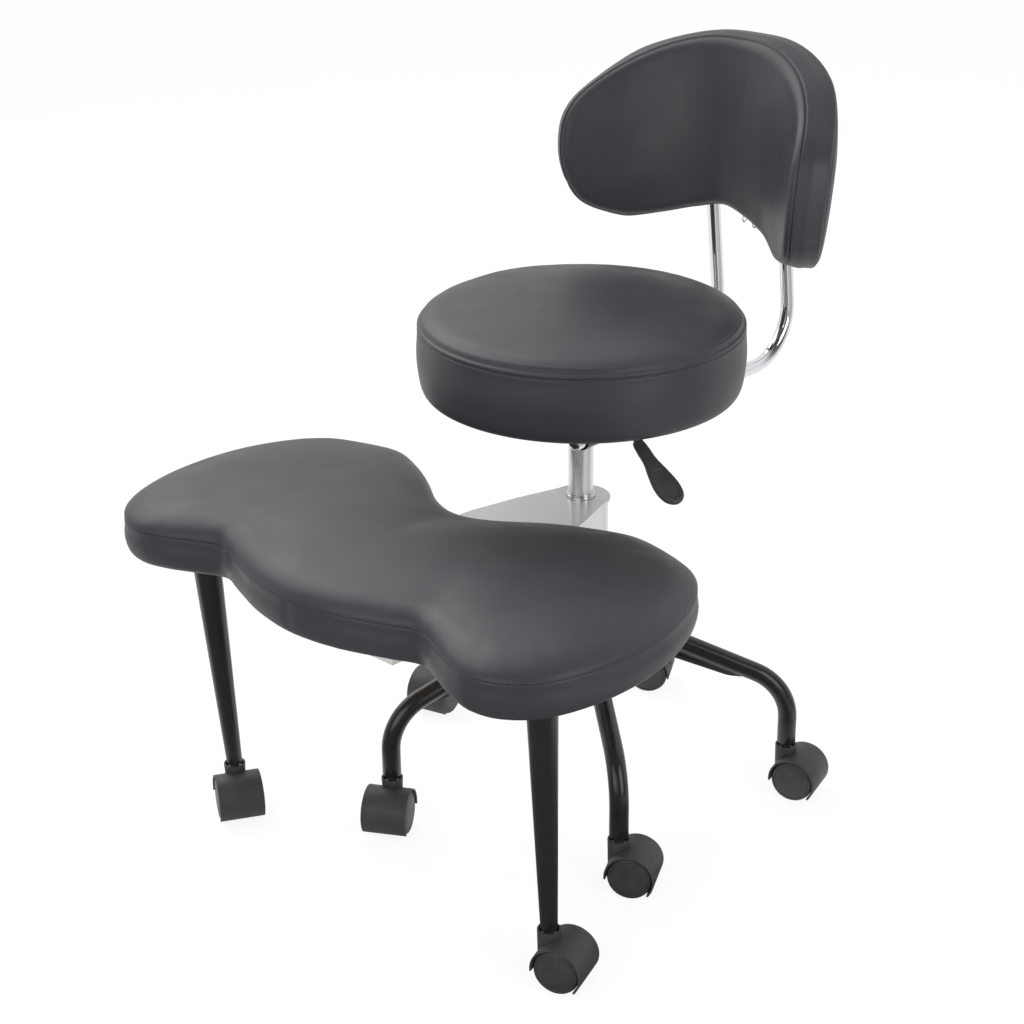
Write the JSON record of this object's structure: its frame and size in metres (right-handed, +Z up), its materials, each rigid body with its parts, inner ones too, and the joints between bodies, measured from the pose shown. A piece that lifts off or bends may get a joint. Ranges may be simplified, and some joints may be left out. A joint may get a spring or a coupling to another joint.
{
  "type": "office chair",
  "caption": "Rolling office chair for cross-legged sitting: round padded seat on a gas lift, wrap-around padded back on chrome tubes, and a butterfly footstool that swings round the column.",
  "frame": {"origin": "on the floor, under the centre of the object's box", "axes": "+Z up, the sitter faces -Y, +X to the sitter's left"},
  "size_m": [0.66, 0.7588, 0.835],
  "materials": {
    "black_leatherette": "soft satin, fine smooth grain",
    "chrome": "polished",
    "zinc_steel": "zinc plated",
    "black_paint": "satin powder coat",
    "grey_paint": "semi-gloss warm grey",
    "black_plastic": "fine moulded texture",
    "wheel_nylon": "smooth moulded",
    "pale_nylon": "plain moulded",
    "plywood": "bare birch plywood"
  },
  "bodies": {
    "base": {"base_hub": "black_paint", "leg_1": "black_paint", "leg_2": "black_paint", "leg_3": "black_paint", "leg_4": "black_paint", "leg_5": "black_paint", "column_tube": "black_paint", "guide_bush": "black_plastic", "base_caster_stems": "zinc_steel"},
    "lift_rod": {"piston_rod": "chrome", "thrust_bearing": "zinc_steel"},
    "seat": {"gas_cylinder": "chrome", "seat_mount": "black_paint", "seat_board": "plywood", "seat_cushion": "black_leatherette", "tube_clamps": "black_paint", "seat_screws": "zinc_steel", "back_tube_left": "chrome", "back_tube_right": "chrome", "back_board": "plywood", "back_pad": "black_leatherette"},
    "release_pin": {"release_pin": "zinc_steel"},
    "lever": {"lever_rod": "black_paint", "lever_paddle": "black_plastic"},
    "arm": {"arm_frame": "grey_paint", "arm_bushes": "pale_nylon", "stool_board": "plywood", "stool_pad": "black_leatherette", "stool_leg_left": "black_paint", "stool_leg_right": "black_paint", "stool_screws": "zinc_steel", "stool_caster_stems": "zinc_steel"},
    "caster_1": {"caster_1_hood": "black_plastic", "caster_1_axle": "zinc_steel"},
    "caster_1_left_wheel": {"caster_1_wheel_left": "wheel_nylon"},
    "caster_1_right_wheel": {"caster_1_wheel_right": "wheel_nylon"},
    "caster_2": {"caster_2_hood": "black_plastic", "caster_2_axle": "zinc_steel"},
    "caster_2_left_wheel": {"caster_2_wheel_left": "wheel_nylon"},
    "caster_2_right_wheel": {"caster_2_wheel_right": "wheel_nylon"},
    "caster_3": {"caster_3_hood": "black_plastic", "caster_3_axle": "zinc_steel"},
    "caster_3_left_wheel": {"caster_3_wheel_left": "wheel_nylon"},
    "caster_3_right_wheel": {"caster_3_wheel_right": "wheel_nylon"},
    "caster_4": {"caster_4_hood": "black_plastic", "caster_4_axle": "zinc_steel"},
    "caster_4_left_wheel": {"caster_4_wheel_left": "wheel_nylon"},
    "caster_4_right_wheel": {"caster_4_wheel_right": "wheel_nylon"},
    "caster_5": {"caster_5_hood": "black_plastic", "caster_5_axle": "zinc_steel"},
    "caster_5_left_wheel": {"caster_5_wheel_left": "wheel_nylon"},
    "caster_5_right_wheel": {"caster_5_wheel_right": "wheel_nylon"},
    "caster_6": {"caster_6_hood": "black_plastic", "caster_6_axle": "zinc_steel"},
    "caster_6_left_wheel": {"caster_6_wheel_left": "wheel_nylon"},
    "caster_6_right_wheel": {"caster_6_wheel_right": "wheel_nylon"},
    "caster_7": {"caster_7_hood": "black_plastic", "caster_7_axle": "zinc_steel"},
    "caster_7_left_wheel": {"caster_7_wheel_left": "wheel_nylon"},
    "caster_7_right_wheel": {"caster_7_wheel_right": "wheel_nylon"}
  },
  "joints": [
    {"name": "seat_swivel", "type": "hinge", "parent": "base", "child": "lift_rod", "pos_m": [0, 0.06158, 0.3], "axis": [0, 0, 1], "continuous": true},
    {"name": "seat_lift", "type": "slide", "parent": "lift_rod", "child": "seat", "axis": [0, 0, 1], "range_m": [-0.012, 0.068]},
    {"name": "lever_lift", "type": "hinge", "parent": "seat", "child": "lever", "pos_m": [0.03424, 0.05046, 0.483], "axis": [-0.309, -0.9511, 0], "range_deg": [0, 6], "stiffness_Nm_per_rad": 2, "springref_deg": -5.73},
    {"name": "release_press", "type": "slide", "parent": "seat", "child": "release_pin", "axis": [0, 0, -1], "range_m": [0, 0.0042]},
    {"name": "arm_swivel", "type": "hinge", "parent": "base", "child": "arm", "pos_m": [0, 0.06158, 0.3], "axis": [0, 0, 1], "continuous": true},
    {"name": "caster_1_swivel", "type": "hinge", "parent": "base", "child": "caster_1", "pos_m": [0.20333, 0.19464, 0.04], "axis": [0, 0, 1], "continuous": true},
    {"name": "caster_1_left_roll", "type": "hinge", "parent": "caster_1", "child": "caster_1_left_wheel", "pos_m": [0.21975, 0.19904, 0.025], "axis": [-0.2588, 0.9659, 0], "continuous": true},
    {"name": "caster_1_right_roll", "type": "hinge", "parent": "caster_1", "child": "caster_1_right_wheel", "pos_m": [0.21975, 0.19904, 0.025], "axis": [-0.2588, 0.9659, 0], "continuous": true},
    {"name": "caster_2_swivel", "type": "hinge", "parent": "base", "child": "caster_2", "pos_m": [-0.06371, 0.29608, 0.04], "axis": [0, 0, 1], "continuous": true},
    {"name": "caster_2_left_roll", "type": "hinge", "parent": "caster_2", "child": "caster_2_left_wheel", "pos_m": [-0.07843, 0.28758, 0.025], "axis": [0.5, -0.866, 0], "continuous": true},
    {"name": "caster_2_right_roll", "type": "hinge", "parent": "caster_2", "child": "caster_2_right_wheel", "pos_m": [-0.07843, 0.28758, 0.025], "axis": [0.5, -0.866, 0], "continuous": true},
    {"name": "caster_3_swivel", "type": "hinge", "parent": "base", "child": "caster_3", "pos_m": [-0.24271, 0.07345, 0.04], "axis": [0, 0, 1], "continuous": true},
    {"name": "caster_3_left_roll", "type": "hinge", "parent": "caster_3", "child": "caster_3_left_wheel", "pos_m": [-0.23831, 0.05703, 0.025], "axis": [0.9659, 0.2588, 0], "continuous": true},
    {"name": "caster_3_right_roll", "type": "hinge", "parent": "caster_3", "child": "caster_3_right_wheel", "pos_m": [-0.23831, 0.05703, 0.025], "axis": [0.9659, 0.2588, 0], "continuous": true},
    {"name": "caster_4_swivel", "type": "hinge", "parent": "base", "child": "caster_4", "pos_m": [-0.08629, -0.16558, 0.04], "axis": [0, 0, 1], "continuous": true},
    {"name": "caster_4_left_roll", "type": "hinge", "parent": "caster_4", "child": "caster_4_left_wheel", "pos_m": [-0.07779, -0.1803, 0.025], "axis": [0.866, 0.5, 0], "continuous": true},
    {"name": "caster_4_right_roll", "type": "hinge", "parent": "caster_4", "child": "caster_4_right_wheel", "pos_m": [-0.07779, -0.1803, 0.025], "axis": [0.866, 0.5, 0], "continuous": true},
    {"name": "caster_5_swivel", "type": "hinge", "parent": "base", "child": "caster_5", "pos_m": [0.18938, -0.09068, 0.04], "axis": [0, 0, 1], "continuous": true},
    {"name": "caster_5_left_roll", "type": "hinge", "parent": "caster_5", "child": "caster_5_left_wheel", "pos_m": [0.20453, -0.08297, 0.025], "axis": [-0.454, 0.891, 0], "continuous": true},
    {"name": "caster_5_right_roll", "type": "hinge", "parent": "caster_5", "child": "caster_5_right_wheel", "pos_m": [0.20453, -0.08297, 0.025], "axis": [-0.454, 0.891, 0], "continuous": true},
    {"name": "caster_6_swivel", "type": "hinge", "parent": "arm", "child": "caster_6", "pos_m": [-0.245, -0.26542, 0.04], "axis": [0, 0, 1], "continuous": true},
    {"name": "caster_6_left_roll", "type": "hinge", "parent": "caster_6", "child": "caster_6_left_wheel", "pos_m": [-0.23043, -0.27418, 0.025], "axis": [0.515, 0.8572, 0], "continuous": true},
    {"name": "caster_6_right_roll", "type": "hinge", "parent": "caster_6", "child": "caster_6_right_wheel", "pos_m": [-0.23043, -0.27418, 0.025], "axis": [0.515, 0.8572, 0], "continuous": true},
    {"name": "caster_7_swivel", "type": "hinge", "parent": "arm", "child": "caster_7", "pos_m": [0.245, -0.26542, 0.04], "axis": [0, 0, 1], "continuous": true},
    {"name": "caster_7_left_roll", "type": "hinge", "parent": "caster_7", "child": "caster_7_left_wheel", "pos_m": [0.26117, -0.26017, 0.025], "axis": [-0.309, 0.9511, 0], "continuous": true},
    {"name": "caster_7_right_roll", "type": "hinge", "parent": "caster_7", "child": "caster_7_right_wheel", "pos_m": [0.26117, -0.26017, 0.025], "axis": [-0.309, 0.9511, 0], "continuous": true}
  ],
  "couplings": [
    {"joint": "release_press", "follows": "lever_lift", "m_per_rad": 0.0385}
  ]
}
